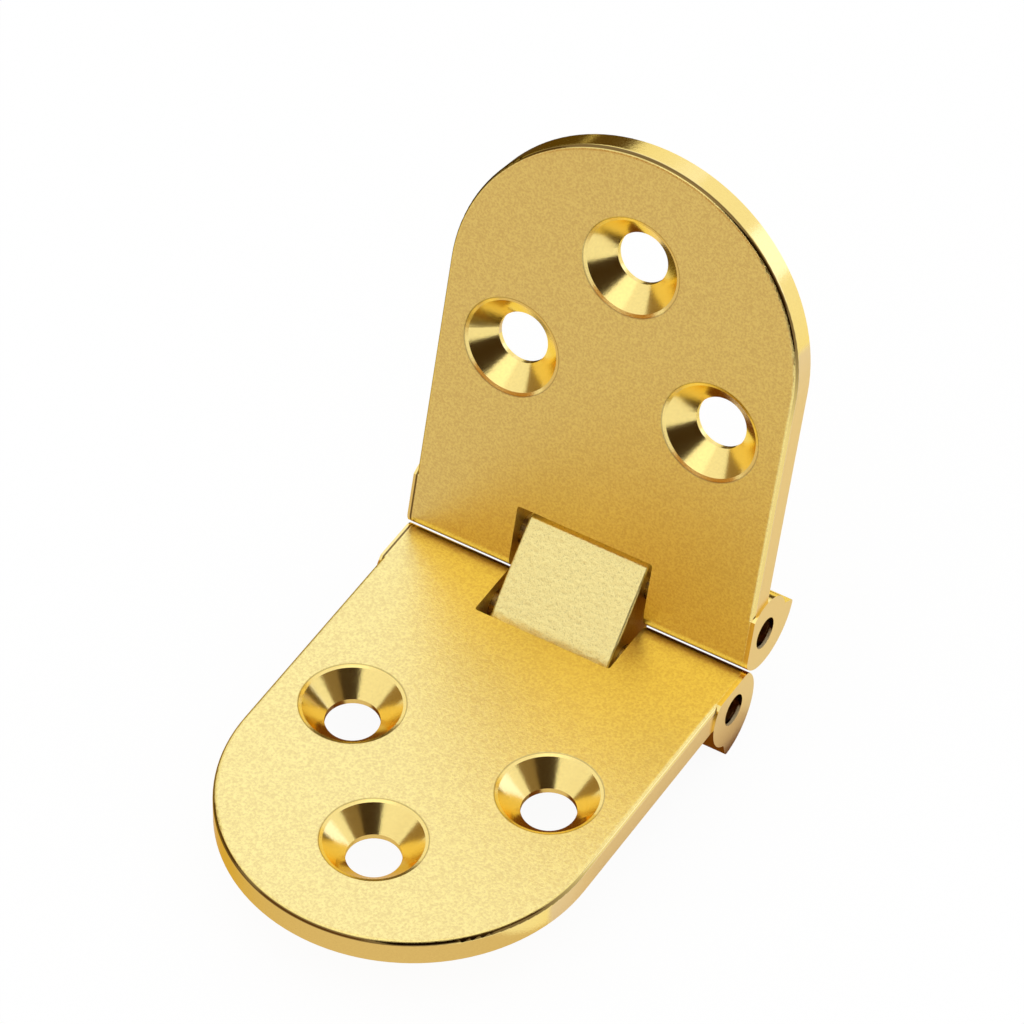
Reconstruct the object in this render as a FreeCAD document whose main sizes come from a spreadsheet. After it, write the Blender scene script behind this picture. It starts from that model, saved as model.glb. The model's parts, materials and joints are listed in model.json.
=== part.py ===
import FreeCAD, Part
import math
import os

import Sketcher

# Driving dimensions: name, value (millimetres, or degrees for the angles), meaning
SIZES = [
    ("leaf_width", 30.0, "width of a leaf across its straight sides"),
    ("leaf_length", 40.1, "length of a leaf from hinge edge to round end"),
    ("leaf_thickness", 2.3, "thickness of the plate"),
    ("face_round", 0.4, "rounding of the rim at the face"),
    ("seat_break", 0.12, "chamfer of the rim at the seat"),
    ("pin_diameter", 2.6, "diameter of both pins and of the eyes that grip them"),
    ("pin_depth", 2.3, "pin axis below the leaf's face"),
    ("pin_setback", 3.1, "pin axis behind the hinge edge, which is the eye's radius"),
    ("pin_recess", 0.9, "pin end inside the mouth of its eye"),
    ("pin_chamfer", 0.2, "chamfer on the pin's ends"),
    ("eye_proud", 0.2, "eye standing proud of the leaf's side"),
    ("eye_shoulder", 1.0, "rounding from the face into the eye along the hinge edge"),
    ("heel_sweep", 4.2, "radius of the lug's hinge side below the pin"),
    ("heel_setback", 1.0, "heel's lower corner behind the pin axis"),
    ("heel_slant", 15.0, "slant of the heel's inner face"),
    ("heel_round", 0.35, "rounding of the heel's lower corner"),
    ("leaf_gap", 0.15, "gap between the two leaves laid flat"),
    ("notch_width", 12.0, "width of the notch for the link"),
    ("notch_round", 0.25, "rounding of the notch's inner corners"),
    ("link_side_gap", 0.7, "gap beside the link in its notch"),
    ("link_end_gap", 0.8, "gap between the link's nose and the notch's end"),
    ("link_nose", 2.45, "radius of the link's ends about the pins"),
    ("link_edge_round", 0.12, "rounding of the link's edges along its top"),
    ("pivot_clearance", 0.05, "radial running clearance of the link on a pin"),
    ("screw_bore", 4.3, "diameter of the screw holes"),
    ("countersink_diameter", 8.0, "diameter of the countersinks at the face, inside the broken edge"),
    ("countersink_angle", 90.0, "full angle of the countersinks"),
    ("countersink_break", 0.2, "broken edge round the countersinks"),
    ("side_hole_spread", 17.4, "distance between the two side holes"),
    ("side_hole_reach", 20.4, "side holes from the round end"),
    ("end_hole_reach", 9.5, "end hole from the round end"),
    ("link_fold", 45.3, "turn of the link from flat, at rest"),
    ("flap_fold", 31.1, "turn of the flap leaf from the link, at rest"),
]
VALUE = {name: value for name, value, meaning in SIZES}

# Derived sizes as expressions of the sheet
PIN_SPACING = "(2 * Sizes.pin_setback + Sizes.leaf_gap)"
EYE_SPAN = "(Sizes.leaf_width + 2 * Sizes.eye_proud)"
PLATE_REACH = "(Sizes.leaf_length - Sizes.pin_setback)"
NOTCH_REACH = "(Sizes.link_nose + Sizes.link_end_gap)"
LINK_WIDTH = "(Sizes.notch_width - 2 * Sizes.link_side_gap)"
LINK_BORE = "(Sizes.pin_diameter + 2 * Sizes.pivot_clearance)"
PIN_LENGTH = "(Sizes.leaf_width + 2 * Sizes.eye_proud - 2 * Sizes.pin_recess)"

# Names for the points and axes that sketch constraints count by number
VERTEX_START, VERTEX_END, VERTEX_CENTRE = range(1, 4)
ACROSS_AXIS, UP_AXIS = -1, -2
ORIGIN_POINT = (-1, 1)
NEAR = 1e-4


def point(across, up):
    """A point in a sketch's own plane."""
    return FreeCAD.Vector(across, up, 0)


def make_sheet(doc):
    """The spreadsheet that drives every size."""
    sheet = doc.addObject("Spreadsheet::Sheet", "Sizes")
    for row, (name, value, meaning) in enumerate(SIZES, start=1):
        sheet.set(f"A{row}", meaning)
        sheet.set(f"B{row}", str(value))
        sheet.setAlias(f"B{row}", name)
    doc.recompute()
    return sheet


def make_body(doc, label):
    """An empty body whose label names the piece."""
    body = doc.addObject("PartDesign::Body", label)
    body.Label = label
    return body


def new_sketch(body, name, role, height="0"):
    """A sketch on one of the body's own origin planes, raised by an expression."""
    sketch = body.newObject("Sketcher::SketchObject", name)
    plane = next(item for item in body.Origin.OriginFeatures if item.Role == role)
    sketch.AttachmentSupport = [(plane, "")]
    sketch.MapMode = "FlatFace"
    sketch.setExpression("AttachmentOffset.Base.z", height)
    return sketch


def drive(sketch, constraint, name, expression):
    """Add a dimension to a sketch and bind it to the sheet."""
    index = sketch.addConstraint(constraint)
    sketch.renameConstraint(index, name)
    sketch.setExpression(f"Constraints.{name}", expression)


def join(sketch, *pairs):
    """Make pairs of sketch points coincide."""
    for first, second in pairs:
        sketch.addConstraint(Sketcher.Constraint("Coincident", *first, *second))


def add_line(sketch, start, end):
    """A straight edge of a sketch."""
    return sketch.addGeometry(Part.LineSegment(point(*start), point(*end)), False)


def add_arc(sketch, centre, radius, start_deg, end_deg):
    """An arc of a sketch, turning anticlockwise."""
    circle = Part.Circle(point(*centre), FreeCAD.Vector(0, 0, 1), radius)
    arc = Part.ArcOfCircle(circle, math.radians(start_deg), math.radians(end_deg))
    return sketch.addGeometry(arc, False)


def add_circle(sketch, centre, radius):
    """A full circle of a sketch."""
    circle = Part.Circle(point(*centre), FreeCAD.Vector(0, 0, 1), radius)
    return sketch.addGeometry(circle, False)


def pad(body, sketch, length, symmetric=False, downward=False):
    """Grow a sketch into a solid, by a length bound to the sheet."""
    feature = body.newObject("PartDesign::Pad", sketch.Name + "_pad")
    feature.Profile = sketch
    feature.setExpression("Length", length)
    feature.Midplane = symmetric
    feature.Reversed = downward
    body.Document.recompute()
    return feature


def cut_through(body, sketch, symmetric=False):
    """Cut a sketch right through the body, and make sure that it met the solid."""
    before = body.Shape.Volume
    feature = body.newObject("PartDesign::Pocket", sketch.Name + "_cut")
    feature.Profile = sketch
    feature.Type = "ThroughAll"
    feature.Midplane = symmetric
    body.Document.recompute()
    if body.Shape.Volume > before - NEAR:
        raise RuntimeError(f"{sketch.Name} cuts nothing")
    return feature


def picked_edges(body, wanted):
    """The body's last feature with the names of those of its edges that a test picks."""
    base = body.Tip
    names = [f"Edge{i}" for i, edge in enumerate(base.Shape.Edges, start=1) if wanted(edge)]
    return base, names


def round_edges(body, name, radius, wanted):
    """Round the edges that a test picks."""
    edges = picked_edges(body, wanted)
    feature = body.newObject("PartDesign::Fillet", name)
    feature.Base = edges
    feature.setExpression("Radius", radius)
    body.Document.recompute()
    return feature


def chamfer_edges(body, name, size, wanted):
    """Chamfer the edges that a test picks."""
    edges = picked_edges(body, wanted)
    feature = body.newObject("PartDesign::Chamfer", name)
    feature.Base = edges
    feature.setExpression("Size", size)
    body.Document.recompute()
    return feature


def runs_at(edge, axis, value):
    """True where every end of an edge has this coordinate."""
    return all(abs(getattr(vertex.Point, axis) - value) < NEAR for vertex in edge.Vertexes)


def plate_sketch(body):
    """Plan of the plate: straight sides from the pin line and a full round end."""
    half = VALUE["leaf_width"] / 2
    shoulder = -(VALUE["leaf_length"] - VALUE["pin_setback"] - half)
    sketch = new_sketch(body, "plate_plan", "XY_Plane", "Sizes.pin_depth")
    left = add_line(sketch, (-half, 0), (-half, shoulder))
    tip = add_arc(sketch, (0, shoulder), half, 180, 360)
    right = add_line(sketch, (half, shoulder), (half, 0))
    chord = add_line(sketch, (half, 0), (-half, 0))
    join(
        sketch,
        ((right, VERTEX_END), (chord, VERTEX_START)),
        ((chord, VERTEX_END), (left, VERTEX_START)),
    )
    for side, side_end, tip_end in (
        (left, VERTEX_END, VERTEX_START),
        (right, VERTEX_START, VERTEX_END),
    ):
        sketch.addConstraint(Sketcher.Constraint("Vertical", side))
        sketch.addConstraint(Sketcher.Constraint("Tangent", side, side_end, tip, tip_end))
    sketch.addConstraint(Sketcher.Constraint("PointOnObject", chord, VERTEX_START, ACROSS_AXIS))
    sketch.addConstraint(Sketcher.Constraint("PointOnObject", chord, VERTEX_END, ACROSS_AXIS))
    sketch.addConstraint(Sketcher.Constraint("PointOnObject", tip, VERTEX_CENTRE, UP_AXIS))
    drive(sketch, Sketcher.Constraint("Radius", tip, half), "end_radius", "Sizes.leaf_width / 2")
    drive(
        sketch,
        Sketcher.Constraint("DistanceY", tip, VERTEX_CENTRE, *ORIGIN_POINT, -shoulder),
        "shoulder",
        f"{PLATE_REACH} - Sizes.leaf_width / 2",
    )
    return sketch


def lug_sketch(body):
    """Side of a lug: an eye about the pin, flat at the leaf's face, with a heel below."""
    eye = VALUE["pin_setback"]
    depth = VALUE["pin_depth"]
    sweep = VALUE["heel_sweep"]
    slant = math.radians(VALUE["heel_slant"])
    face_deg = math.degrees(math.asin(depth / eye))
    sweep_centre = eye - sweep
    corner_across = -VALUE["heel_setback"]
    corner_up = -math.sqrt(sweep ** 2 - (corner_across - sweep_centre) ** 2)
    corner_deg = math.degrees(math.atan2(corner_up, corner_across - sweep_centre))
    # The heel's inner face rises from its lower corner, leaning back, to the eye
    lean = (-math.sin(slant), math.cos(slant))
    along = corner_across * lean[0] + corner_up * lean[1]
    climb = -along - math.sqrt(along ** 2 - corner_across ** 2 - corner_up ** 2 + eye ** 2)
    crook = (corner_across + climb * lean[0], corner_up + climb * lean[1])
    crook_deg = math.degrees(math.atan2(crook[1], crook[0])) % 360
    flat = math.sqrt(eye ** 2 - depth ** 2)

    sketch = new_sketch(body, "lug_side", "YZ_Plane")
    front = add_arc(sketch, (0, 0), eye, 0, face_deg)
    face = add_line(sketch, (flat, depth), (-flat, depth))
    back = add_arc(sketch, (0, 0), eye, 180 - face_deg, crook_deg)
    heel = add_line(sketch, crook, (corner_across, corner_up))
    under = add_arc(sketch, (sweep_centre, 0), sweep, corner_deg, 0)
    join(
        sketch,
        ((front, VERTEX_CENTRE), ORIGIN_POINT),
        ((back, VERTEX_CENTRE), ORIGIN_POINT),
        ((front, VERTEX_END), (face, VERTEX_START)),
        ((face, VERTEX_END), (back, VERTEX_START)),
        ((back, VERTEX_END), (heel, VERTEX_START)),
        ((heel, VERTEX_END), (under, VERTEX_START)),
        ((under, VERTEX_END), (front, VERTEX_START)),
    )
    sketch.addConstraint(Sketcher.Constraint("Horizontal", face))
    sketch.addConstraint(Sketcher.Constraint("Equal", front, back))
    sketch.addConstraint(Sketcher.Constraint("PointOnObject", front, VERTEX_START, ACROSS_AXIS))
    sketch.addConstraint(Sketcher.Constraint("PointOnObject", under, VERTEX_CENTRE, ACROSS_AXIS))
    drive(sketch, Sketcher.Constraint("Radius", front, eye), "eye_radius", "Sizes.pin_setback")
    drive(
        sketch,
        Sketcher.Constraint("DistanceY", *ORIGIN_POINT, face, VERTEX_START, depth),
        "face_height",
        "Sizes.pin_depth",
    )
    drive(sketch, Sketcher.Constraint("Radius", under, sweep), "sweep_radius", "Sizes.heel_sweep")
    drive(
        sketch,
        Sketcher.Constraint("DistanceX", heel, VERTEX_END, *ORIGIN_POINT, -corner_across),
        "corner_setback",
        "Sizes.heel_setback",
    )
    drive(
        sketch,
        Sketcher.Constraint("Angle", heel, slant - math.pi / 2),
        "heel_angle",
        "Sizes.heel_slant - 90",
    )
    return sketch


def notch_sketch(body):
    """Plan of the notch that takes the link, open at the hinge edge."""
    half = VALUE["notch_width"] / 2
    back = -(VALUE["link_nose"] + VALUE["link_end_gap"])
    front = VALUE["pin_setback"] + VALUE["leaf_gap"]
    corners = [(-half, back), (half, back), (half, front), (-half, front)]
    sketch = new_sketch(body, "notch_plan", "XY_Plane", "Sizes.pin_depth")
    sides = [add_line(sketch, corners[i], corners[(i + 1) % 4]) for i in range(4)]
    for i in range(4):
        join(sketch, ((sides[i], VERTEX_END), (sides[(i + 1) % 4], VERTEX_START)))
    end_wall, right, mouth, left = sides
    for straight, side in (("Vertical", right), ("Horizontal", mouth), ("Vertical", left)):
        sketch.addConstraint(Sketcher.Constraint(straight, side))
    sketch.addConstraint(
        Sketcher.Constraint("Symmetric", end_wall, VERTEX_START, end_wall, VERTEX_END, UP_AXIS)
    )
    drive(
        sketch,
        Sketcher.Constraint("DistanceX", end_wall, VERTEX_START, end_wall, VERTEX_END, 2 * half),
        "notch_wide",
        "Sizes.notch_width",
    )
    drive(
        sketch,
        Sketcher.Constraint("DistanceY", end_wall, VERTEX_START, *ORIGIN_POINT, -back),
        "notch_reach",
        NOTCH_REACH,
    )
    drive(
        sketch,
        Sketcher.Constraint("DistanceY", *ORIGIN_POINT, mouth, VERTEX_START, front),
        "notch_mouth",
        "Sizes.pin_setback + Sizes.leaf_gap",
    )
    return sketch


def screw_sketch(body):
    """Places of the three screw holes on the leaf's face."""
    radius = VALUE["screw_bore"] / 2
    pin_to_tip = VALUE["leaf_length"] - VALUE["pin_setback"]
    side_up = VALUE["side_hole_reach"] - pin_to_tip
    end_up = VALUE["end_hole_reach"] - pin_to_tip
    half_spread = VALUE["side_hole_spread"] / 2
    sketch = new_sketch(body, "screw_holes", "XY_Plane", "Sizes.pin_depth")
    left = add_circle(sketch, (-half_spread, side_up), radius)
    right = add_circle(sketch, (half_spread, side_up), radius)
    end = add_circle(sketch, (0, end_up), radius)
    sketch.addConstraint(
        Sketcher.Constraint("Symmetric", left, VERTEX_CENTRE, right, VERTEX_CENTRE, UP_AXIS)
    )
    sketch.addConstraint(Sketcher.Constraint("PointOnObject", end, VERTEX_CENTRE, UP_AXIS))
    sketch.addConstraint(Sketcher.Constraint("Equal", left, right))
    sketch.addConstraint(Sketcher.Constraint("Equal", left, end))
    drive(sketch, Sketcher.Constraint("Radius", left, radius), "bore_radius", "Sizes.screw_bore / 2")
    drive(
        sketch,
        Sketcher.Constraint("DistanceX", left, VERTEX_CENTRE, right, VERTEX_CENTRE, 2 * half_spread),
        "spread",
        "Sizes.side_hole_spread",
    )
    for name, circle, up in (("side_hole", left, side_up), ("end_hole", end, end_up)):
        drive(
            sketch,
            Sketcher.Constraint("DistanceY", circle, VERTEX_CENTRE, *ORIGIN_POINT, -up),
            name + "_place",
            f"{PLATE_REACH} - Sizes.{name}_reach",
        )
    return sketch


def eye_bore_sketch(body):
    """Section of the eye's bore, which grips the pin."""
    radius = VALUE["pin_diameter"] / 2
    sketch = new_sketch(body, "eye_bore", "YZ_Plane")
    bore = add_circle(sketch, (0, 0), radius)
    join(sketch, ((bore, VERTEX_CENTRE), ORIGIN_POINT))
    drive(sketch, Sketcher.Constraint("Radius", bore, radius), "bore_radius", "Sizes.pin_diameter / 2")
    return sketch


def countersink(body, sketch):
    """Drill and countersink the screw holes from the face."""
    feature = body.newObject("PartDesign::Hole", "countersunk_holes")
    feature.Profile = sketch
    body.Document.recompute()
    feature.Threaded = False
    feature.DepthType = "ThroughAll"
    feature.HoleCutType = "Countersink"
    feature.HoleCutCustomValues = True
    feature.setExpression("Diameter", "Sizes.screw_bore")
    feature.setExpression("HoleCutDiameter", "Sizes.countersink_diameter")
    feature.setExpression("HoleCutCountersinkAngle", "Sizes.countersink_angle")
    body.Document.recompute()
    return feature


def make_leaf(doc, label):
    """One cast leaf, with its pin axis along X through its own origin and its face up."""
    body = make_body(doc, label)
    face = VALUE["pin_depth"]
    seat = VALUE["pin_depth"] - VALUE["leaf_thickness"]
    pad(body, plate_sketch(body), "Sizes.leaf_thickness", downward=True)
    round_edges(
        body,
        "face_rim",
        "Sizes.face_round",
        lambda edge: runs_at(edge, "z", face) and not runs_at(edge, "y", 0),
    )
    chamfer_edges(
        body,
        "seat_rim",
        "Sizes.seat_break",
        lambda edge: runs_at(edge, "z", seat) and not runs_at(edge, "y", 0),
    )
    pad(body, lug_sketch(body), EYE_SPAN, symmetric=True)
    shoulder = math.sqrt(VALUE["pin_setback"] ** 2 - VALUE["pin_depth"] ** 2)
    round_edges(
        body,
        "eye_shoulder",
        "Sizes.eye_shoulder",
        lambda edge: runs_at(edge, "z", face) and runs_at(edge, "y", shoulder),
    )
    heel_corner = -VALUE["heel_setback"]
    round_edges(
        body,
        "heel_corner",
        "Sizes.heel_round",
        lambda edge: runs_at(edge, "y", heel_corner) and edge.BoundBox.ZMax < 0,
    )
    cut_through(body, notch_sketch(body))
    notch_end = -(VALUE["link_nose"] + VALUE["link_end_gap"])
    round_edges(
        body,
        "notch_corners",
        "Sizes.notch_round",
        lambda edge: runs_at(edge, "y", notch_end) and edge.BoundBox.XLength < NEAR,
    )
    cut_through(body, eye_bore_sketch(body), symmetric=True)
    countersink(body, screw_sketch(body))
    chamfer_edges(
        body,
        "countersink_rims",
        "Sizes.countersink_break",
        lambda edge: runs_at(edge, "z", face) and edge.isClosed(),
    )
    return body


def link_sketch(body):
    """Side of the link: round about both pins, with a flat top level with the leaves' faces."""
    nose = VALUE["link_nose"]
    top = VALUE["pin_depth"]
    half = VALUE["pin_setback"] + VALUE["leaf_gap"] / 2
    top_deg = math.degrees(math.asin(top / nose))
    flat = half + math.sqrt(nose ** 2 - top ** 2)
    sketch = new_sketch(body, "link_side", "YZ_Plane")
    right = add_arc(sketch, (half, 0), nose, -90, top_deg)
    crown = add_line(sketch, (flat, top), (-flat, top))
    left = add_arc(sketch, (-half, 0), nose, 180 - top_deg, 270)
    belly = add_line(sketch, (-half, -nose), (half, -nose))
    join(
        sketch,
        ((right, VERTEX_END), (crown, VERTEX_START)),
        ((crown, VERTEX_END), (left, VERTEX_START)),
    )
    sketch.addConstraint(Sketcher.Constraint("Tangent", left, VERTEX_END, belly, VERTEX_START))
    sketch.addConstraint(Sketcher.Constraint("Tangent", belly, VERTEX_END, right, VERTEX_START))
    sketch.addConstraint(Sketcher.Constraint("Equal", left, right))
    sketch.addConstraint(
        Sketcher.Constraint("Symmetric", left, VERTEX_CENTRE, right, VERTEX_CENTRE, *ORIGIN_POINT)
    )
    sketch.addConstraint(Sketcher.Constraint("PointOnObject", right, VERTEX_CENTRE, ACROSS_AXIS))
    sketch.addConstraint(Sketcher.Constraint("Horizontal", crown))
    drive(sketch, Sketcher.Constraint("Radius", right, nose), "nose_radius", "Sizes.link_nose")
    drive(
        sketch,
        Sketcher.Constraint("DistanceX", left, VERTEX_CENTRE, right, VERTEX_CENTRE, 2 * half),
        "pin_spacing",
        PIN_SPACING,
    )
    drive(
        sketch,
        Sketcher.Constraint("DistanceY", *ORIGIN_POINT, crown, VERTEX_START, top),
        "crown_height",
        "Sizes.pin_depth",
    )
    return sketch


def link_bore_sketch(body):
    """Section of the link's two bores, which run on the pins."""
    radius = VALUE["pin_diameter"] / 2 + VALUE["pivot_clearance"]
    half = VALUE["pin_setback"] + VALUE["leaf_gap"] / 2
    sketch = new_sketch(body, "link_bores", "YZ_Plane")
    left = add_circle(sketch, (-half, 0), radius)
    right = add_circle(sketch, (half, 0), radius)
    sketch.addConstraint(Sketcher.Constraint("Equal", left, right))
    sketch.addConstraint(
        Sketcher.Constraint("Symmetric", left, VERTEX_CENTRE, right, VERTEX_CENTRE, *ORIGIN_POINT)
    )
    sketch.addConstraint(Sketcher.Constraint("PointOnObject", right, VERTEX_CENTRE, ACROSS_AXIS))
    drive(sketch, Sketcher.Constraint("Radius", left, radius), "bore_radius", f"{LINK_BORE} / 2")
    drive(
        sketch,
        Sketcher.Constraint("DistanceX", left, VERTEX_CENTRE, right, VERTEX_CENTRE, 2 * half),
        "pin_spacing",
        PIN_SPACING,
    )
    return sketch


def make_link(doc):
    """The link block, with its middle at its own origin and both pins along X."""
    body = make_body(doc, "link_block")
    top = VALUE["pin_depth"]
    pad(body, link_sketch(body), LINK_WIDTH, symmetric=True)
    round_edges(
        body,
        "crown_edges",
        "Sizes.link_edge_round",
        lambda edge: runs_at(edge, "z", top),
    )
    cut_through(body, link_bore_sketch(body), symmetric=True)
    return body


def make_pin(doc, label):
    """A plain pin along X with chamfered ends."""
    body = make_body(doc, label)
    pad(body, eye_bore_sketch(body), PIN_LENGTH, symmetric=True)
    chamfer_edges(body, "pin_ends", "Sizes.pin_chamfer", lambda edge: edge.isClosed())
    return body


def place(body, across, up, tilt="0", turned=False):
    """Stand a piece where its own origin belongs, tilted about the hinge axis."""
    body.setExpression("Placement.Base.y", across)
    body.setExpression("Placement.Base.z", up)
    if turned:
        body.Placement.Rotation = FreeCAD.Rotation(FreeCAD.Vector(0, 0, 1), 180)
        body.setExpression("Placement.Rotation.Axis.y", f"-sin(({tilt}) / 2)")
        body.setExpression("Placement.Rotation.Axis.z", f"cos(({tilt}) / 2)")
        body.setExpression("Placement.Rotation.Angle", "180")
    else:
        body.Placement.Rotation = FreeCAD.Rotation(FreeCAD.Vector(1, 0, 0), 0)
        body.setExpression("Placement.Rotation.Angle", tilt)


def check(doc, pieces):
    """Stop if a feature failed or a piece isn't one valid solid."""
    for item in doc.Objects:
        if "Invalid" in item.State or "Error" in item.State:
            raise RuntimeError(f"{item.Name} failed: {item.State}")
    for body in pieces:
        shape = body.Shape
        if shape.isNull() or not shape.isValid() or len(shape.Solids) != 1:
            raise RuntimeError(f"{body.Label} isn't one valid solid")


def main():
    doc = FreeCAD.newDocument("drop_leaf_hinge")
    make_sheet(doc)

    fixed_leaf = make_leaf(doc, "fixed_leaf")
    flap_leaf = make_leaf(doc, "flap_leaf")
    link_block = make_link(doc)
    fixed_leaf_pin = make_pin(doc, "fixed_leaf_pin")
    flap_leaf_pin = make_pin(doc, "flap_leaf_pin")

    # The frame's origin lies on the fixed leaf's seat, under the centre of its round end
    fixed_across = f"{PLATE_REACH} - Sizes.leaf_width / 2"
    fixed_up = "Sizes.leaf_thickness - Sizes.pin_depth"
    link_across = f"{fixed_across} + {PIN_SPACING} / 2 * cos(Sizes.link_fold)"
    link_up = f"{fixed_up} + {PIN_SPACING} / 2 * sin(Sizes.link_fold)"
    flap_across = f"{fixed_across} + {PIN_SPACING} * cos(Sizes.link_fold)"
    flap_up = f"{fixed_up} + {PIN_SPACING} * sin(Sizes.link_fold)"
    flap_tilt = "Sizes.link_fold + Sizes.flap_fold"
    place(fixed_leaf, fixed_across, fixed_up)
    place(fixed_leaf_pin, fixed_across, fixed_up)
    place(link_block, link_across, link_up, "Sizes.link_fold")
    place(flap_leaf, flap_across, flap_up, flap_tilt, turned=True)
    place(flap_leaf_pin, flap_across, flap_up, flap_tilt)
    doc.recompute()

    pieces = [fixed_leaf, flap_leaf, link_block, fixed_leaf_pin, flap_leaf_pin]
    check(doc, pieces)
    os.makedirs("parts", exist_ok=True)
    for body in pieces:
        body.Shape.exportStep(os.path.join("parts", body.Label + ".step"))
        box = body.Shape.BoundBox
        print(body.Label, round(body.Shape.Volume, 2), "mm3", box)


main()
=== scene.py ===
import json
import math
from collections import namedtuple

import bmesh
import bpy
from bpy.props import FloatProperty, FloatVectorProperty, PointerProperty
from mathutils import Matrix, Quaternion, Vector, noise


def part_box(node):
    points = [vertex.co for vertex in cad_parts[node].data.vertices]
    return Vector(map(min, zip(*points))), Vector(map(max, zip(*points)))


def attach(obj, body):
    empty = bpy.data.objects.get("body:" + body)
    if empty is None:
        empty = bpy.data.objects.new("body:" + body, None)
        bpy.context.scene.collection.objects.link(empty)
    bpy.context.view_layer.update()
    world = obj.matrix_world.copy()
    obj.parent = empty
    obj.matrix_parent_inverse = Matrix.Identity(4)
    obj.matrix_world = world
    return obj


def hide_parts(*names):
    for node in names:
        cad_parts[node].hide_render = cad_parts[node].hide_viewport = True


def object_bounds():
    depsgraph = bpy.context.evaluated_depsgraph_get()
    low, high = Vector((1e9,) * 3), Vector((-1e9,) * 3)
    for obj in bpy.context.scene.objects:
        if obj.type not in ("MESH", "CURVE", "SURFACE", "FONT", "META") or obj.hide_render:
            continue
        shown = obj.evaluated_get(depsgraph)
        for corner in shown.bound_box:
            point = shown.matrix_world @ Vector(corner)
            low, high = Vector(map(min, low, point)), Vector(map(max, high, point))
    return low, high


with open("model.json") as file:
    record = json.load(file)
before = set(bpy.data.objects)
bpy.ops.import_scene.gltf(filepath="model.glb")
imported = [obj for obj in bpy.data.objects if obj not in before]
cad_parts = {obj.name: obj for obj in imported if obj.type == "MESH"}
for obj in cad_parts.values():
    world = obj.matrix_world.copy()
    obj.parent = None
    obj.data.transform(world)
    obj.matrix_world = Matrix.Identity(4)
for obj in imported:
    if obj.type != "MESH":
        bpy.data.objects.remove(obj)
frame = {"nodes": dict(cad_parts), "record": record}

bl_info = {
    "name": "Drop Leaf Table Hinge",
    "version": (1, 0, 0),
    "blender": (4, 5, 0),
    "location": "View3D > Sidebar > Hinge",
    "description": "Dresses the hinge's leaves, link and pins, and sets them on a studio floor",
    "category": "Object",
}

CAD_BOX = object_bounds()
MOUNT = {mount["name"]: mount for mount in frame["record"]["mounts"]}
PIVOT = {joint["name"]: Vector(joint["pos_m"]) for joint in frame["record"]["behaviour"]["joints"]}
LEAF_PIVOT = {"fixed_leaf": PIVOT["link_pivot"], "flap_leaf": PIVOT["flap_pivot"]}
PINS = ("fixed_leaf_pin", "flap_leaf_pin")
HINGE_AXIS = Vector((1.0, 0.0, 0.0))
UP = Vector((0.0, 0.0, 1.0))

# Each pair is where a mask of a leaf starts and where it is full
# By the part of a surface's normal along the normal of the leaf's face
FACE_TURN = (0.74, 0.79)
FRONT_TURN = (-0.5, -0.2)
# The LINE masks place painted shade along the rounded rim and along the hinge edge
RIM_LINE_TURN = (0.02, 0.1)
HINGE_LINE_TURN = (0.28, 0.42)
HINGE_LINE_TURN_END = (0.84, 0.70)
# By the part of it along the hinge axis
SIDE_TURN = (0.955, 0.97)
# By the part of it straight up, for the painted highlight on the bores' lower lips
LIP_TURN = (0.3, 0.6)
# By the way into the rim's rounding, which is nothing on the flat and one at the side
FACE_END = (0.6, 0.45)
RIM_LINE_START = (0.5, 0.65)
RIM_LINE_END = (1.0, 0.95)
HINGE_LINE_ENDS = (0.0, -0.2)
FLANK_START = -10.0
# By the place along the hinge axis, in metres
RIM_LINE_LEFT = (0.0, -0.005)
# By the place from the centre of the round end towards the tip, in metres
RIM_LINE_TIP = (-0.004, 0.006)
HINGE_LINE_PLACE = (-0.020, -0.022)
# Shares of the painted shade line along the right side and the hinge edge
RIM_LINE_RIGHT_SHARE = 0.12
HINGE_LINE_SHARE = 0.8

# Noise of the grain, the link's pits, the pins' streaks and the link's dimples
GRAIN_DETAIL = 3.0
GRAIN_ROUGHNESS = 0.65
HOLLOW_LEVELS = (0.65, 0.35)
PIT_SHARPNESS = 5.0
STREAK_STRETCH = (0.05, 1.0, 1.0)
STREAK_LEVELS = (0.3, 0.7)
STREAK_SPREAD = 0.2
DIMPLE_FALL = 0.5
DIMPLE_LACUNARITY = 2.2
DIMPLE_OCTAVES = 3

EDGE_SEGMENTS = 4
BORE_SEGMENTS = 48

SENSOR_WIDTH = 36.0
LAMP_SIZE = 0.8
LAMP_PLACE = Vector((0.1, -0.3, 0.85))
FLOOR_SIZE = (4.0, 4.0)
FLOOR_GAP = 0.00001
# Cards that the plating mirrors: name, azimuth from the front, elevation, distance, width, height, colour
STANDING_CARDS = (
    ("camera_flag", 44.0, 24.0, 0.75, 0.73, 0.97, (0.040, 0.022, 0.008)),
    ("front_card", -20.0, 10.0, 0.75, 0.80, 0.40, (0.46, 0.22, 0.04)),
    ("right_card", 84.0, 34.0, 0.75, 0.40, 0.50, (0.24, 0.17, 0.09)),
    ("left_card", -79.0, 14.0, 0.75, 0.38, 0.42, (0.30, 0.20, 0.08)),
    ("back_left_flag", -145.0, 3.0, 0.60, 0.60, 0.22, (0.10, 0.065, 0.02)),
    ("back_right_light", 140.0, 12.0, 0.60, 0.34, 0.20, (1.3, 1.4, 2.0)),
    ("sky_card", -149.7, 45.5, 0.90, 0.90, 0.70, (1.07, 1.11, 1.38)),
)
# Cards that lie on the floor, each over the one before: name, left, right, front and back edges, colour
FLOOR_CARDS = (
    ("front_floor_card", -0.45, 0.018, -0.60, 0.026, (0.72, 0.605, 0.49)),
    ("back_left_floor_card", -0.40, -0.02, 0.045, 0.40, (0.10, 0.07, 0.03)),
    ("hinge_shade", -0.014, 0.016, 0.005, 0.045, (0.14, 0.05, 0.01)),
)

LeafPlaces = namedtuple("LeafPlaces", "face_normal end_way end_centre pin screw_holes")


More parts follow.
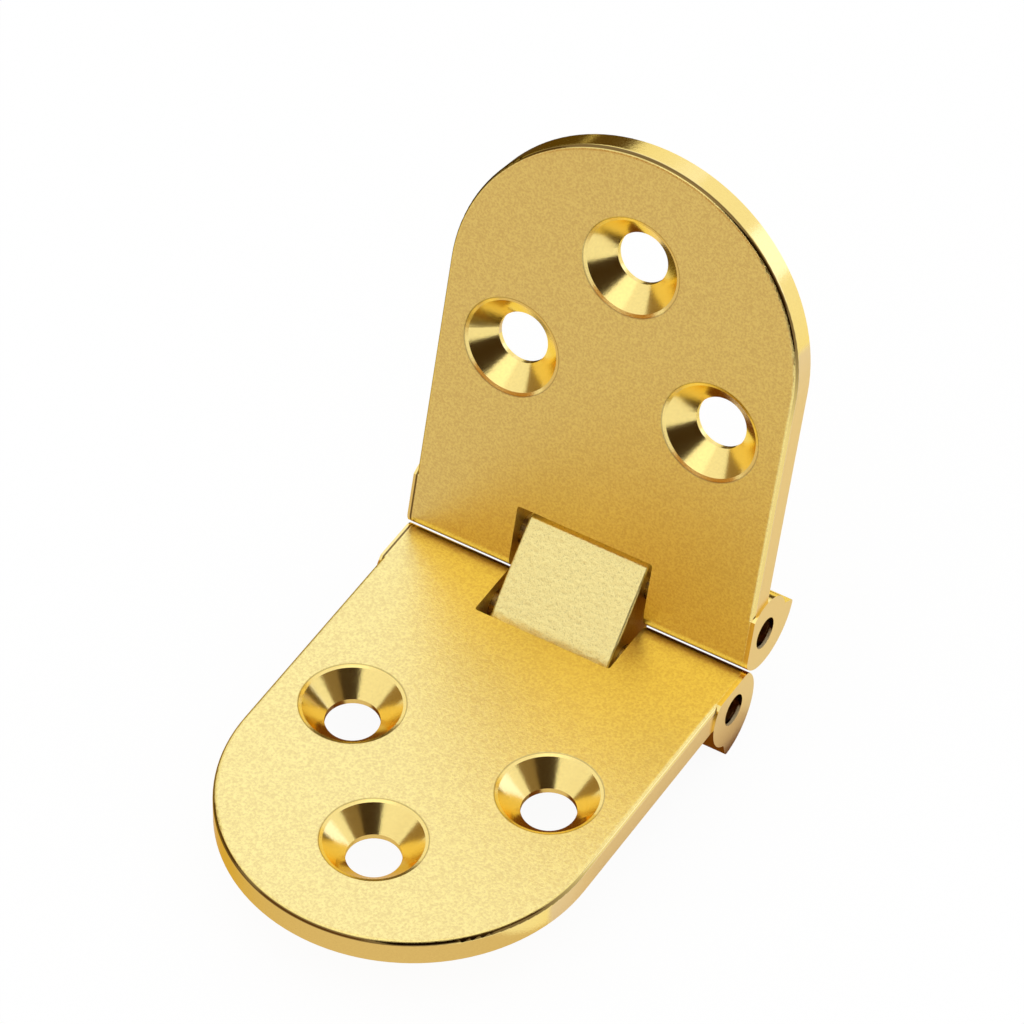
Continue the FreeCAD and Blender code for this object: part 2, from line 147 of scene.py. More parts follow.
def colour_property(name, description, default):
    """A colour that a user may change."""
    return FloatVectorProperty(
        name=name, description=description, default=default, subtype="COLOR", size=3, min=0.0, max=1.0
    )


def length_property(name, description, default):
    """A length that a user may change, in metres."""
    return FloatProperty(
        name=name, description=description, default=default, unit="LENGTH", min=0.0, precision=6
    )


def share_property(name, description, default):
    """A share between nothing and all."""
    return FloatProperty(
        name=name, description=description, default=default, subtype="FACTOR", min=0.0, max=1.0
    )


def angle_property(name, description, degrees):
    """An angle, given here in degrees."""
    return FloatProperty(
        name=name, description=description, default=math.radians(degrees), subtype="ANGLE"
    )


class HingeFinish(bpy.types.PropertyGroup):
    """Colours, roughness, grain and painted shade lines of the plated brass, with painted shade in the bores
    and a painted highlight on their lips.
    """

    plate_colour: colour_property("Plate", "Gold plating", (0.96, 0.75, 0.27))
    side_colour: colour_property("Sides", "Duller plating on the outer sides", (0.88, 0.70, 0.40))
    link_colour: colour_property("Link", "Paler plating on the cast link", (1.0, 0.87, 0.38))
    edge_tint: colour_property("Edge tint", "Tint of the plating seen at a low angle", (0.97, 0.73, 0.23))
    pin_colour: colour_property("Pins", "Darker metal of the pins", (0.30, 0.21, 0.11))
    # Painted shade inside the bores for the pins
    bore_shade_colour: colour_property("Bores", "Painted shade on the wall of the bores for the pins", (0.25, 0.13, 0.05))
    # Painted highlight on the upward-facing lower lips of the bores, where light falls
    lip_highlight_colour: colour_property("Lips", "Painted highlight on the lower lip of the bores", (1.0, 0.86, 0.55))
    # Painted shade along the rounded edges and round the countersinks
    edge_shade_colour: colour_property("Lines", "Painted shade along the edges", (0.12, 0.06, 0.015))

    face_roughness: share_property("Face roughness", "Roughness of the blasted faces", 0.29)
    side_roughness: share_property("Side roughness", "Roughness of the sides and lug ends", 0.42)
    polish_roughness: share_property("Polish roughness", "Roughness of the polished rim", 0.11)
    sink_roughness: share_property("Sink roughness", "Roughness of the countersinks", 0.17)
    # Roughness of the lips that carry the painted highlight
    lip_roughness: share_property("Lip roughness", "Roughness of the lower lips under the painted highlight", 0.60)
    link_roughness: share_property("Link roughness", "Roughness of the cast link", 0.32)
    pin_roughness: share_property("Pin roughness", "Roughness of the drawn pins", 0.30)

    grain_size: length_property("Grain size", "Size of the blasted grain on the leaves", 0.0002)
    grain_depth: length_property("Grain depth", "Depth of the blasted grain", 0.00002)
    grain_tone: share_property("Grain tone", "Difference in tone between the grain's tops and hollows", 0.24)
    polish_grain: share_property("Polish grain", "Share of the grain left on the polished surfaces", 0.2)
    link_grain_size: length_property("Link grain size", "Size of the grain on the link", 0.00013)
    link_grain_depth: length_property("Link grain depth", "Depth of the grain on the link", 0.00002)
    link_tone: share_property("Link tone", "Difference in tone between the link and its pits", 0.22)

    rim_radius: length_property("Rim radius", "Radius of the leaves' round ends", 0.015)
    rim_round: length_property("Rim round", "Rounding of the leaves' rims", 0.0004)
    # How strongly the painted shade shows along the edges
    edge_shade_strength: share_property("Line strength", "How much of the painted shade shows along the edges", 0.90)
    # Painted shade line round the rims of the countersinks
    ring_radius: length_property("Ring radius", "Radius of the fine line round the countersinks", 0.00414)
    ring_width: length_property("Ring width", "Half the width of that fine line", 0.0001)
    ring_shade_strength: share_property("Ring strength", "How much of the painted shade shows in that line", 0.40)
    # Radius of the painted shade in the bores
    bore_shade_radius: length_property("Bore radius", "Radius within which the bores get painted shade", 0.00132)
    lip_start: length_property("Lip start", "Distance from the middle where the lips start", 0.01495)


class HingeCasting(bpy.types.PropertyGroup):
    """Shape of the rough link."""

    pin_play: length_property("Pin play", "Gap round the pins in the link's bores", 0.00005)
    edge_round: length_property("Edge", "Rounding of the link's edges", 0.0002)
    shoulder: length_property("Shoulder", "Squareness of the link's shoulders beyond a true round", 0.00005)
    cell: length_property("Cell", "Spacing of the surface points", 0.0001)
    dimple_size: length_property("Dimples", "Size of the dimples", 0.0003)
    dimple_depth: length_property("Dimple depth", "Depth of the dimples", 0.000012)


class HingeStage(bpy.types.PropertyGroup):
    """Camera, floor and light."""

    azimuth: angle_property("Azimuth", "Camera to the right of the front", 30.273)
    elevation: angle_property("Elevation", "Camera above the horizon", 45.442)
    roll: angle_property("Roll", "Turn of the camera about its line of sight", 1.218)
    distance: length_property("Distance", "Camera from the point that it looks at", 0.53696)
    target: FloatVectorProperty(
        name="Target", description="Point in the middle of the picture", subtype="TRANSLATION",
        default=(-0.0000076, 0.0138882, 0.0203339), unit="LENGTH", precision=6,
    )
    lens: FloatProperty(name="Lens", description="Focal length in millimetres", default=253.94, min=1.0)
    floor_colour: colour_property("Floor", "Pale floor", (0.95, 0.95, 0.95))
    floor_glow: share_property("Floor glow", "Share of the floor that shows as plain white", 0.94)
    lamp_power: FloatProperty(
        name="Lamp", description="Power of the soft lamp overhead", default=0.45, unit="POWER"
    )


def add_node(tree, kind, **settings):
    """A node with its settings."""
    node = tree.nodes.new(kind)
    for key, value in settings.items():
        setattr(node, key, value)
    return node


def feed(tree, socket, value):
    """Link a socket to another one, or set it to a number, a vector or a colour."""
    if isinstance(value, bpy.types.NodeSocket):
        tree.links.new(value, socket)
    elif socket.type == "RGBA":
        socket.default_value = (*value, 1.0)
    else:
        socket.default_value = value


def maths(tree, operation, first, second=0.0):
    """An operation on two values, or on the first one alone."""
    node = add_node(tree, "ShaderNodeMath", operation=operation)
    feed(tree, node.inputs[0], first)
    feed(tree, node.inputs[1], second)
    return node.outputs[0]


def product(tree, value, *factors):
    """Values multiplied together."""
    for factor in factors:
        value = maths(tree, "MULTIPLY", value, factor)
    return value


def largest(tree, value, *others):
    """The largest of some values."""
    for other in others:
        value = maths(tree, "MAXIMUM", value, other)
    return value


def vectors(tree, operation, first, second):
    """An operation on two vectors that gives a vector."""
    node = add_node(tree, "ShaderNodeVectorMath", operation=operation)
    feed(tree, node.inputs[0], first)
    feed(tree, node.inputs[1], second)
    return node.outputs["Vector"]


def part_along(tree, vector, way):
    """The part of a vector along a unit vector."""
    node = add_node(tree, "ShaderNodeVectorMath", operation="DOT_PRODUCT")
    feed(tree, node.inputs[0], vector)
    feed(tree, node.inputs[1], way)
    return node.outputs["Value"]


def smooth_step(tree, value, low, high, out_low=0.0, out_high=1.0):
    """A smooth step of a value between two levels."""
    node = add_node(tree, "ShaderNodeMapRange", interpolation_type="SMOOTHSTEP", clamp=True)
    names = ("Value", "From Min", "From Max", "To Min", "To Max")
    for name, level in zip(names, (value, low, high, out_low, out_high)):
        feed(tree, node.inputs[name], level)
    return node.outputs["Result"]


def mix_colour(tree, share, first, second):
    """A mix of two colours."""
    node = add_node(tree, "ShaderNodeMix", data_type="RGBA")
    colours = [socket for socket in node.inputs if socket.type == "RGBA"]
    feed(tree, node.inputs["Factor"], share)
    feed(tree, colours[0], first)
    feed(tree, colours[1], second)
    return next(socket for socket in node.outputs if socket.type == "RGBA")


def new_group(name, inputs, outputs):
    """A shader node group with named sockets, its input node and its output node."""
    group = bpy.data.node_groups.new(name, "ShaderNodeTree")
    for label, kind in inputs.items():
        group.interface.new_socket(name=label, in_out="INPUT", socket_type=kind)
    for label in outputs:
        group.interface.new_socket(name=label, in_out="OUTPUT", socket_type="NodeSocketFloat")
    return group, group.nodes.new("NodeGroupInput"), group.nodes.new("NodeGroupOutput")


def put_out(group, outlet, values):
    """Link a group's results to its named outputs."""
    for name, value in values.items():
        group.links.new(value, outlet.inputs[name])
    return group


def use_group(tree, group, values):
    """A node group in a material with values of its own; its outputs come back."""
    node = add_node(tree, "ShaderNodeGroup", node_tree=group)
    for name, value in values.items():
        feed(tree, node.inputs[name], value)
    return node.outputs


def grain_group():
    """Fine grain of a blasted surface, its height and its hollows, built once for all its materials."""
    name = "blasted_grain"
    if name in bpy.data.node_groups:
        return bpy.data.node_groups[name]
    group, inlet, outlet = new_group(name, {"Scale": "NodeSocketFloat"}, ("Height", "Hollow"))
    place = add_node(group, "ShaderNodeTexCoord")
    speck = add_node(group, "ShaderNodeTexNoise")
    speck.inputs["Detail"].default_value = GRAIN_DETAIL
    speck.inputs["Roughness"].default_value = GRAIN_ROUGHNESS
    group.links.new(place.outputs["Object"], speck.inputs["Vector"])
    group.links.new(inlet.outputs["Scale"], speck.inputs["Scale"])
    height = speck.outputs["Fac"]
    return put_out(group, outlet, {"Height": height, "Hollow": smooth_step(group, height, *HOLLOW_LEVELS)})


def surface_group():
    """Masks of a leaf: its flat faces, all sides, the outer sides, the painted shade lines along the edges
    and the front.
    """
    group, inlet, outlet = new_group(
        "leaf_surfaces",
        {
            "Face Normal": "NodeSocketVector",
            "End Centre": "NodeSocketVector",
            "End Way": "NodeSocketVector",
            "Rim Radius": "NodeSocketFloat",
            "Rim Round": "NodeSocketFloat",
        },
        ("Face", "Side", "Flank", "Edge", "Front"),
    )
    place = add_node(group, "ShaderNodeTexCoord")
    normal = place.outputs["Normal"]
    upward = part_along(group, normal, inlet.outputs["Face Normal"])
    sideways = maths(group, "ABSOLUTE", part_along(group, normal, HINGE_AXIS))
    offset = vectors(group, "SUBTRACT", place.outputs["Object"], inlet.outputs["End Centre"])
    endward = part_along(group, offset, inlet.outputs["End Way"])
    aside = part_along(group, offset, HINGE_AXIS)

    # How far into the rim's rounding a point is: nothing on the flat, one at the side
    beyond = largest(group, endward, 0.0)
    square = maths(group, "ADD", product(group, beyond, beyond), product(group, aside, aside))
    from_side = maths(group, "SUBTRACT", inlet.outputs["Rim Radius"], maths(group, "SQRT", square))
    rounds = maths(group, "DIVIDE", from_side, inlet.outputs["Rim Round"])
    into_rim = maths(group, "SUBTRACT", 1.0, rounds)

    level = smooth_step(group, maths(group, "ABSOLUTE", upward), *FACE_TURN)
    side = smooth_step(group, sideways, *SIDE_TURN)
    on_left = smooth_step(group, aside, *RIM_LINE_LEFT)
    at_tip = smooth_step(group, endward, *RIM_LINE_TIP, RIM_LINE_RIGHT_SHARE, 1.0)
    # Painted shade: a dark line on the rounded rim, and one on the hinge edge next to the gap between the
    # leaves
    rim_shade_line = product(
        group,
        smooth_step(group, into_rim, *RIM_LINE_START),
        smooth_step(group, into_rim, *RIM_LINE_END),
        smooth_step(group, upward, *RIM_LINE_TURN),
        largest(group, on_left, at_tip),
    )
    hinge_shade_line = product(
        group,
        smooth_step(group, upward, *HINGE_LINE_TURN),
        smooth_step(group, upward, *HINGE_LINE_TURN_END),
        smooth_step(group, into_rim, *HINGE_LINE_ENDS),
        smooth_step(group, endward, *HINGE_LINE_PLACE),
        HINGE_LINE_SHARE,
    )
    return put_out(group, outlet, {
        "Face": product(group, level, smooth_step(group, into_rim, *FACE_END)),
        "Side": side,
        "Flank": product(group, side, maths(group, "GREATER_THAN", into_rim, FLANK_START)),
        "Edge": largest(group, hinge_shade_line, rim_shade_line),
        "Front": smooth_step(group, upward, *FRONT_TURN),
    })


def ring_group():
    """Masks about the axis of a hole: a fine line at one radius, and all within that radius."""
    group, inlet, outlet = new_group(
        "hole_ring",
        {
            "Axis": "NodeSocketVector",
            "Centre": "NodeSocketVector",
            "Radius": "NodeSocketFloat",
            "Width": "NodeSocketFloat",
        },
        ("Line", "Inside"),
    )
    place = add_node(group, "ShaderNodeTexCoord")
    offset = vectors(group, "SUBTRACT", place.outputs["Object"], inlet.outputs["Centre"])
    reach = add_node(group, "ShaderNodeVectorMath", operation="LENGTH")
    group.links.new(vectors(group, "CROSS_PRODUCT", offset, inlet.outputs["Axis"]), reach.inputs[0])
    distance, radius = reach.outputs["Value"], inlet.outputs["Radius"]
    away = maths(group, "ABSOLUTE", maths(group, "SUBTRACT", distance, radius))
    return put_out(group, outlet, {
        "Line": smooth_step(group, away, inlet.outputs["Width"], 0.0),
        "Inside": maths(group, "LESS_THAN", distance, radius),
    })


def new_material(name):
    """A material with an empty tree of nodes, and that tree."""
    material = bpy.data.materials.new(name)
    material.use_nodes = True
    tree = material.node_tree
    tree.nodes.clear()
    return material, tree


def plated(name, finish):
    """A metal material, its tree and its shader."""
    material, tree = new_material(name)
    output = add_node(tree, "ShaderNodeOutputMaterial")
    metal = add_node(tree, "ShaderNodeBsdfPrincipled")
    metal.inputs["Metallic"].default_value = 1.0
    metal.inputs["Specular Tint"].default_value = (*finish.edge_tint, 1.0)
    tree.links.new(metal.outputs["BSDF"], output.inputs["Surface"])
    return material, tree, metal


def grain_tones(colour, difference):
    """A colour on the tops and in the hollows of the grain, even about the colour itself."""
    half = difference / 2
    return [tuple(min(channel * share, 1.0) for channel in colour) for share in (1 + half, 1 - half)]


def add_bump(tree, metal, height, depth):
    """Relief of a surface, by a height from nothing to one."""
    bump = add_node(tree, "ShaderNodeBump")
    bump.inputs["Distance"].default_value = depth
    feed(tree, bump.inputs["Height"], height)
    tree.links.new(bump.outputs["Normal"], metal.inputs["Normal"])


def leaf_places(name, rim_radius):
    """Places on a leaf that its finish goes by."""
    node = frame["nodes"][name]
    pin = LEAF_PIVOT[name]
    face_normal = -Vector(MOUNT[name + "_seat"]["axis"])
    spots = [node.matrix_world @ vertex.co - pin for vertex in node.data.vertices]

    def reach(way):
        return max(way.dot(spot) for spot in spots)

    way = face_normal.cross(HINGE_AXIS).normalized()
    end_way = max((way, -way), key=reach)
    end_centre = pin + end_way * (reach(end_way) - rim_radius)
    start = name.removesuffix("leaf")
    screw_holes = [
        mount["pos_m"]
        for key, mount in MOUNT.items()
        if key.startswith(start) and key.endswith("screw_hole")
    ]
    return LeafPlaces(face_normal, end_way, end_centre, pin, screw_holes)


def sink_masks(tree, finish, leaf, front, ring_tree):
    """Masks of the painted shade lines round a leaf's countersinks, and of all within them."""
    lines, sinks = [], []
    for hole in leaf.screw_holes:
        ring = use_group(tree, ring_tree, {
            "Axis": leaf.face_normal, "Centre": hole,
            "Radius": finish.ring_radius, "Width": finish.ring_width,
        })
        lines.append(product(tree, ring["Line"], front, finish.ring_shade_strength))
        sinks.append(product(tree, ring["Inside"], front))
    return largest(tree, *lines), largest(tree, *sinks)


def bore_masks(tree, finish, leaf, ring_tree):
    """Masks of the painted shade in the bore for a leaf's pin, and of the painted highlight on the
    upward-facing lower lip at its mouths.
    """
    place = add_node(tree, "ShaderNodeTexCoord")
    bore = use_group(tree, ring_tree, {
        "Axis": HINGE_AXIS, "Centre": leaf.pin, "Radius": finish.bore_shade_radius,
    })["Inside"]
    aside = maths(tree, "ABSOLUTE", part_along(tree, place.outputs["Object"], HINGE_AXIS))
    upward = part_along(tree, place.outputs["Normal"], UP)
    mouth = maths(tree, "GREATER_THAN", aside, finish.lip_start)
    return bore, product(tree, bore, smooth_step(tree, upward, *LIP_TURN), mouth)


def leaf_material(finish, name, surface_tree, ring_tree):
    """Gold plating: blasted faces, polished rim and countersinks, dull sides, painted shade in the bores and
    along the edges, and a painted highlight on the bores' lower lips.
    """
    leaf = leaf_places(name, finish.rim_radius)
    material, tree, metal = plated("plated_" + name, finish)
    surfaces = use_group(tree, surface_tree, {
        "Face Normal": leaf.face_normal, "End Centre": leaf.end_centre, "End Way": leaf.end_way,
        "Rim Radius": finish.rim_radius, "Rim Round": finish.rim_round,
    })
    grain = use_group(tree, grain_group(), {"Scale": 1.0 / finish.grain_size})
    shade_rings, sunk = sink_masks(tree, finish, leaf, surfaces["Front"], ring_tree)
    bore, lip = bore_masks(tree, finish, leaf, ring_tree)
    # Painted shade lines along the edges and round the countersinks
    line = largest(tree, product(tree, surfaces["Edge"], finish.edge_shade_strength), shade_rings)
    side = surfaces["Side"]
    face = product(tree, surfaces["Face"], maths(tree, "SUBTRACT", 1.0, sunk))
    grained = largest(tree, maths(tree, "ADD", face, side), finish.polish_grain)

    speckled = mix_colour(tree, grain["Hollow"], *grain_tones(finish.plate_colour, finish.grain_tone))
    tone = mix_colour(tree, grained, finish.plate_colour, speckled)
    tone = mix_colour(tree, surfaces["Flank"], tone, finish.side_colour)
    # Painted shade in the bores, then a painted highlight on their lower lips, then the painted shade lines
    tone = mix_colour(tree, bore, tone, finish.bore_shade_colour)
    tone = mix_colour(tree, lip, tone, finish.lip_highlight_colour)
    feed(tree, metal.inputs["Base Color"], mix_colour(tree, line, tone, finish.edge_shade_colour))

    polish = finish.polish_roughness
    rises = [
        product(tree, face, finish.face_roughness - polish),
        product(tree, side, finish.side_roughness - polish),
        product(tree, sunk, finish.sink_roughness - polish),
        product(tree, lip, finish.lip_roughness - polish),
    ]
    roughness = polish
    for rise in rises:
        roughness = maths(tree, "ADD", rise, roughness)
    feed(tree, metal.inputs["Roughness"], roughness)
    add_bump(tree, metal, product(tree, grain["Height"], grained), finish.grain_depth)
    return material


def link_material(finish):
    """Plating over a rough casting."""
    material, tree, metal = plated("cast_link", finish)
    grain = use_group(tree, grain_group(), {"Scale": 1.0 / finish.link_grain_size})
    pits = maths(tree, "POWER", grain["Hollow"], PIT_SHARPNESS)
    pitted = [channel * (1 - finish.link_tone) for channel in finish.link_colour]
    feed(tree, metal.inputs["Base Color"], mix_colour(tree, pits, finish.link_colour, pitted))
    metal.inputs["Roughness"].default_value = finish.link_roughness
    add_bump(tree, metal, grain["Height"], finish.link_grain_depth)
    return material


def pin_material(finish):
    """Smooth drawn pin, streaked along its length."""
    material, tree, metal = plated("drawn_pin", finish)
    place = add_node(tree, "ShaderNodeTexCoord")
    stretch = add_node(tree, "ShaderNodeMapping")
    stretch.inputs["Scale"].default_value = STREAK_STRETCH
    streak = add_node(tree, "ShaderNodeTexNoise")
    streak.inputs["Scale"].default_value = 1.0 / finish.grain_size
    tree.links.new(place.outputs["Object"], stretch.inputs["Vector"])
    tree.links.new(stretch.outputs["Vector"], streak.inputs["Vector"])
    metal.inputs["Base Color"].default_value = (*finish.pin_colour, 1.0)
    ends = [finish.pin_roughness * share for share in (1 - STREAK_SPREAD, 1 + STREAK_SPREAD)]
    feed(tree, metal.inputs["Roughness"], smooth_step(tree, streak.outputs["Fac"], *STREAK_LEVELS, *ends))
    return material


def dress(piece, material):
    """Give a piece its finish."""
    piece.data.materials.clear()
    piece.data.materials.append(material)


def new_object(name, work):
    """A new object at the origin from a bmesh, which is freed."""
    mesh = bpy.data.meshes.new(name)
    work.to_mesh(mesh)
    work.free()
    piece = bpy.data.objects.new(name, mesh)
    bpy.context.scene.collection.objects.link(piece)
    return piece


def link_outline(work, half_pitch, nose, crown, cell):
    """Side outline of the link about the middle of its pins: two noses, the belly and the crown."""
    sweep = math.pi / 2 + math.asin(crown / nose)
    steps = round(nose * sweep / cell)
    for side in (1, -1):
        centre = Vector((0.0, side * half_pitch, 0.0))
        low = work.verts.new(centre - nose * UP)
        bmesh.ops.spin(work, geom=[low], cent=centre, axis=HINGE_AXIS, angle=side * sweep, steps=steps)
    loose = [vertex for vertex in work.verts if len(vertex.link_edges) == 1]
    loose.sort(key=lambda vertex: vertex.co.z)
    belly_and_crown = (loose[:2], loose[2:])
    for ends in belly_and_crown:
        work.edges.new(ends)
    # A cut renews the mesh, so the longest edge is looked up before each
    for _ in belly_and_crown:
        longest = max(work.edges, key=lambda edge: edge.calc_length())
        bmesh.ops.subdivide_edges(work, edges=[longest], cuts=round(longest.calc_length() / cell) - 1)


def push_through(work, extruded, way):
    """Move what an extrusion made."""
    vertices = [item for item in extruded["geom"] if isinstance(item, bmesh.types.BMVert)]
    bmesh.ops.translate(work, vec=way, verts=vertices)


def link_body(work, casting, half_pitch, nose, crown, half_width):
    """The link's block in its own axes: open ends, rounded rims and a length cut in even steps."""
    link_outline(work, half_pitch, nose, crown, casting.cell)
    bmesh.ops.translate(work, vec=half_width * HINGE_AXIS, verts=work.verts)
    cap = bmesh.ops.edgeloop_fill(work, edges=work.edges[:])["faces"]
    push_through(work, bmesh.ops.extrude_face_region(work, geom=cap), -2 * half_width * HINGE_AXIS)
    rims = [edge for edge in work.edges if edge.calc_length() < half_width]
    bmesh.ops.bevel(
        work, geom=rims, offset=casting.edge_round, segments=EDGE_SEGMENTS, profile=0.5, affect="EDGES",
        material=-1,
    )
    lengths = [edge for edge in work.edges if edge.calc_length() > half_width]
    cuts = round(lengths[0].calc_length() / casting.cell) - 1
    bmesh.ops.subdivide_edges(work, edges=lengths, cuts=cuts, use_grid_fill=True)
    caps = [face for face in work.faces if len(face.verts) > 4]
    bmesh.ops.delete(work, geom=caps, context="FACES_ONLY")


def link_bores(work, half_pitch, bore, half_width):
    """The link's two bores, and the flat end walls round them."""
    across = Matrix.Rotation(math.pi / 2, 4, "Y")
    for side in (1, -1):
        mouth = Matrix.Translation((half_width, side * half_pitch, 0.0)) @ across
        circle = bmesh.ops.create_circle(work, radius=bore, segments=BORE_SEGMENTS, matrix=mouth)["verts"]
        edges = list(dict.fromkeys(edge for vertex in circle for edge in vertex.link_edges))
        push_through(work, bmesh.ops.extrude_edge_only(work, edges=edges), -2 * half_width * HINGE_AXIS)
    for face in work.faces:
        face.smooth = True
    open_edges = [edge for edge in work.edges if edge.is_boundary]
    for side in (1, -1):
        end = [edge for edge in open_edges if side * edge.verts[0].co.x > 0.0]
        bmesh.ops.triangle_fill(work, use_beauty=True, edges=end)


def dimpled(vertices, size, depth):
    """Push vertices in and out by a noise of that size and depth."""
    heights = [
        depth * noise.fractal(vertex.co / size, DIMPLE_FALL, DIMPLE_LACUNARITY, DIMPLE_OCTAVES)
        for vertex in vertices
    ]
    moves = [height * vertex.normal for height, vertex in zip(heights, vertices)]
    for vertex, move in zip(vertices, moves):
        vertex.co += move


def link_casting(casting):
    """The rough cast link with rounded edges, a dimpled surface and two bores for the pins."""
    near, far = PIVOT["link_pivot"], PIVOT["flap_pivot"]
    middle, half_pitch = (near + far) / 2, (far - near).length / 2
    along = (far - near).normalized()
    upright = HINGE_AXIS.cross(along)
    node = frame["nodes"]["link_block"]
    spots = [node.matrix_world @ vertex.co - middle for vertex in node.data.vertices]
    crown = max(spot.dot(upright) for spot in spots) - casting.shoulder
    nose = -min(spot.dot(upright) for spot in spots) + casting.shoulder
    half_width = max(spot.x for spot in spots)
    pin_low, pin_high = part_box(PINS[0])
    bore = (pin_high.z - pin_low.z) / 2 + casting.pin_play

    work = bmesh.new()
    link_body(work, casting, half_pitch, nose, crown, half_width)
    surface = work.verts[:]
    link_bores(work, half_pitch, bore, half_width)
    turn = Matrix((HINGE_AXIS, along, upright)).transposed().to_4x4()
    bmesh.ops.transform(work, matrix=Matrix.Translation(middle) @ turn, verts=work.verts)
    bmesh.ops.recalc_face_normals(work, faces=work.faces)
    work.normal_update()
    dimpled(surface, casting.dimple_size, casting.dimple_depth)
    return new_object("link_casting", work)


def seen_by_eye(tree):
    """A mask of the rays that show the surroundings: straight, mirrored or through glass."""
    rays = add_node(tree, "ShaderNodeLightPath").outputs
    return largest(tree, rays["Is Camera Ray"], rays["Is Glossy Ray"], rays["Is Transmission Ray"])


def floor_material(stage):
    """Pale floor that shows as white and keeps a soft shadow."""
    material, tree = new_material("pale_floor")
    output = add_node(tree, "ShaderNodeOutputMaterial")
    matt = add_node(tree, "ShaderNodeBsdfDiffuse")
    matt.inputs["Color"].default_value = (*stage.floor_colour, 1.0)
    white = add_node(tree, "ShaderNodeEmission")
    blend = add_node(tree, "ShaderNodeMixShader")
    tree.links.new(product(tree, seen_by_eye(tree), stage.floor_glow), blend.inputs["Fac"])
    tree.links.new(matt.outputs["BSDF"], blend.inputs[1])
    tree.links.new(white.outputs["Emission"], blend.inputs[2])
    tree.links.new(blend.outputs["Shader"], output.inputs["Surface"])
    return material


def card_material(name, colour):
    """A plain card of one colour."""
    material, tree = new_material(name)
    output = add_node(tree, "ShaderNodeOutputMaterial")
    glow = add_node(tree, "ShaderNodeEmission")
    glow.inputs["Color"].default_value = (*colour, 1.0)
    tree.links.new(glow.outputs["Emission"], output.inputs["Surface"])
    return material


def add_plane(name, size, material, place, towards):
    """A flat piece of the stage, facing a point."""
    work = bmesh.new()
    bmesh.ops.create_grid(work, x_segments=1, y_segments=1, size=0.5)
    bmesh.ops.scale(work, vec=(*size, 1.0), verts=work.verts)
    turn = (towards - place).to_track_quat("Z", "Y").to_matrix()
    bmesh.ops.rotate(work, cent=(0.0, 0.0, 0.0), matrix=turn, verts=work.verts)
    bmesh.ops.translate(work, vec=place, verts=work.verts)
    plane = new_object(name, work)
    dress(plane, material)
    return plane


def add_card(name, size, colour, place, towards):
    """A card that only the plating mirrors."""
    card = add_plane(name, size, card_material(name, colour), place, towards)
    card.visible_camera = False
    card.visible_diffuse = False
    card.visible_shadow = False


def direction(azimuth, elevation):
    """Unit vector from the object, azimuth from the front towards the right."""
    level = math.cos(elevation)
    return Vector((math.sin(azimuth) * level, -math.cos(azimuth) * level, math.sin(elevation)))


def add_camera(scene, stage):
    """The camera that sees what the photograph shows."""
    lens = bpy.data.cameras.new("camera")
    lens.sensor_width = SENSOR_WIDTH
    lens.lens = stage.lens
    camera = bpy.data.objects.new("camera", lens)
    back = direction(stage.azimuth, stage.elevation)
    camera.location = Vector(stage.target) + back * stage.distance
    camera.rotation_mode = "QUATERNION"
    look = (-back).to_track_quat("-Z", "Y")
    camera.rotation_quaternion = look @ Quaternion(UP, stage.roll)
    scene.collection.objects.link(camera)
    scene.camera = camera


def add_world(scene):
    """An even white surround."""
    world = bpy.data.worlds.new("studio")
    world.use_nodes = True
    scene.world = world
    tree = world.node_tree
    tree.nodes.clear()
    output = add_node(tree, "ShaderNodeOutputWorld")
    sky = add_node(tree, "ShaderNodeBackground")
    sky.inputs["Color"].default_value = (1.0, 1.0, 1.0, 1.0)
    tree.links.new(sky.outputs["Background"], output.inputs["Surface"])


def add_lamp(scene, stage):
    """A soft lamp overhead."""
    lamp = bpy.data.lights.new("overhead_lamp", "AREA")
    lamp.shape = "DISK"
    lamp.size = LAMP_SIZE
    lamp.energy = stage.lamp_power
    light = bpy.data.objects.new("overhead_lamp", lamp)
    light.location = LAMP_PLACE
    light.rotation_mode = "QUATERNION"
    light.rotation_quaternion = (Vector(stage.target) - LAMP_PLACE).to_track_quat("-Z", "Y")
    scene.collection.objects.link(light)


def add_floor(stage):
    """The floor, just below the cards that lie on it; its height comes back."""
    height = CAD_BOX[0].z - (len(FLOOR_CARDS) + 1) * FLOOR_GAP
    place = height * UP
    add_plane("floor", FLOOR_SIZE, floor_material(stage), place, place + UP)
    return height


def add_cards(stage, floor):
    """The cards that stand round the hinge, and those that lie on the floor."""
    middle = Vector(stage.target)
    for name, azimuth, elevation, distance, width, height, colour in STANDING_CARDS:
        way = direction(math.radians(azimuth), math.radians(elevation))
        add_card(name, (width, height), colour, middle + way * distance, middle)
    for layer, (name, left, right, front, back, colour) in enumerate(FLOOR_CARDS, start=1):
        place = Vector(((left + right) / 2, (front + back) / 2, floor + layer * FLOOR_GAP))
        add_card(name, (right - left, back - front), colour, place, place + UP)


class HINGE_OT_leaves(bpy.types.Operator):
    """Plate the two leaves"""

    bl_idname = "hinge.leaves"
    bl_label = "Leaves"

    def execute(self, context):
        surface_tree, ring_tree = surface_group(), ring_group()
        for name in LEAF_PIVOT:
            material = leaf_material(context.scene.hinge_finish, name, surface_tree, ring_tree)
            dress(frame["nodes"][name], material)
        return {"FINISHED"}


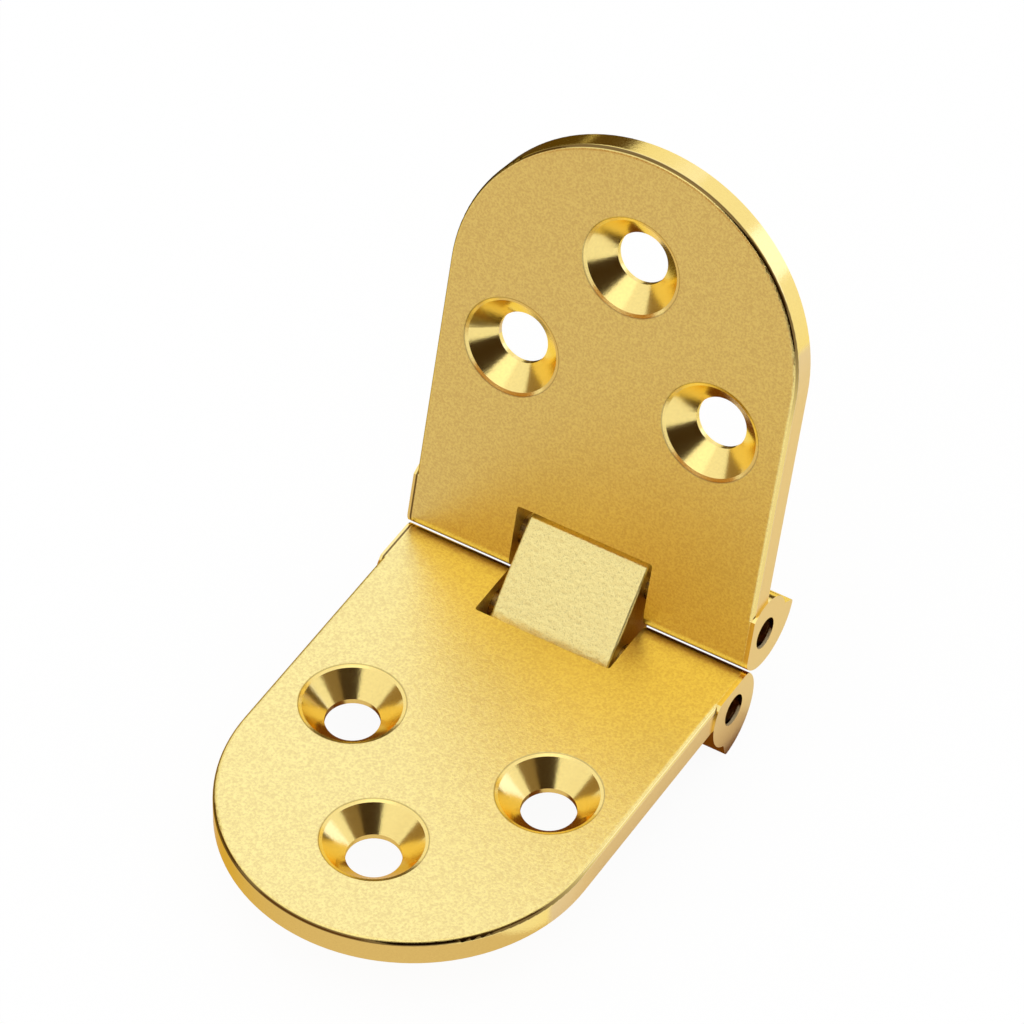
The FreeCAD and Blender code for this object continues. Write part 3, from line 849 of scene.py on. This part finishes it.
class HINGE_OT_link(bpy.types.Operator):
    """Cast the link"""

    bl_idname = "hinge.link"
    bl_label = "Link"

    def execute(self, context):
        piece = link_casting(context.scene.hinge_casting)
        dress(piece, link_material(context.scene.hinge_finish))
        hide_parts("link_block")
        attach(piece, "link")
        return {"FINISHED"}


class HINGE_OT_pins(bpy.types.Operator):
    """Finish the pins"""

    bl_idname = "hinge.pins"
    bl_label = "Pins"

    def execute(self, context):
        material = pin_material(context.scene.hinge_finish)
        for name in PINS:
            dress(frame["nodes"][name], material)
        return {"FINISHED"}


class HINGE_OT_stage(bpy.types.Operator):
    """Set the floor, the light and the camera"""

    bl_idname = "hinge.stage"
    bl_label = "Stage"

    def execute(self, context):
        scene = context.scene
        stage = scene.hinge_stage
        scene.view_settings.view_transform = "Standard"
        add_camera(scene, stage)
        add_world(scene)
        add_lamp(scene, stage)
        add_cards(stage, add_floor(stage))
        return {"FINISHED"}


class HINGE_PT_panel(bpy.types.Panel):
    """Steps that dress the hinge"""

    bl_idname = "HINGE_PT_panel"
    bl_label = "Drop Leaf Hinge"
    bl_space_type = "VIEW_3D"
    bl_region_type = "UI"
    bl_category = "Hinge"

    def draw(self, context):
        for step in STEPS:
            self.layout.operator(step.bl_idname)


STEPS = (HINGE_OT_leaves, HINGE_OT_link, HINGE_OT_pins, HINGE_OT_stage)
SETTINGS = {"hinge_finish": HingeFinish, "hinge_casting": HingeCasting, "hinge_stage": HingeStage}
CLASSES = (*SETTINGS.values(), *STEPS, HINGE_PT_panel)


def register():
    for item in CLASSES:
        bpy.utils.register_class(item)
    for name, kind in SETTINGS.items():
        setattr(bpy.types.Scene, name, PointerProperty(type=kind))


def unregister():
    for name in SETTINGS:
        delattr(bpy.types.Scene, name)
    for item in reversed(CLASSES):
        bpy.utils.unregister_class(item)


def main():
    register()
    bpy.ops.hinge.leaves()
    bpy.ops.hinge.link()
    bpy.ops.hinge.pins()
    bpy.ops.hinge.stage()


if __name__ == "__main__":
    main()
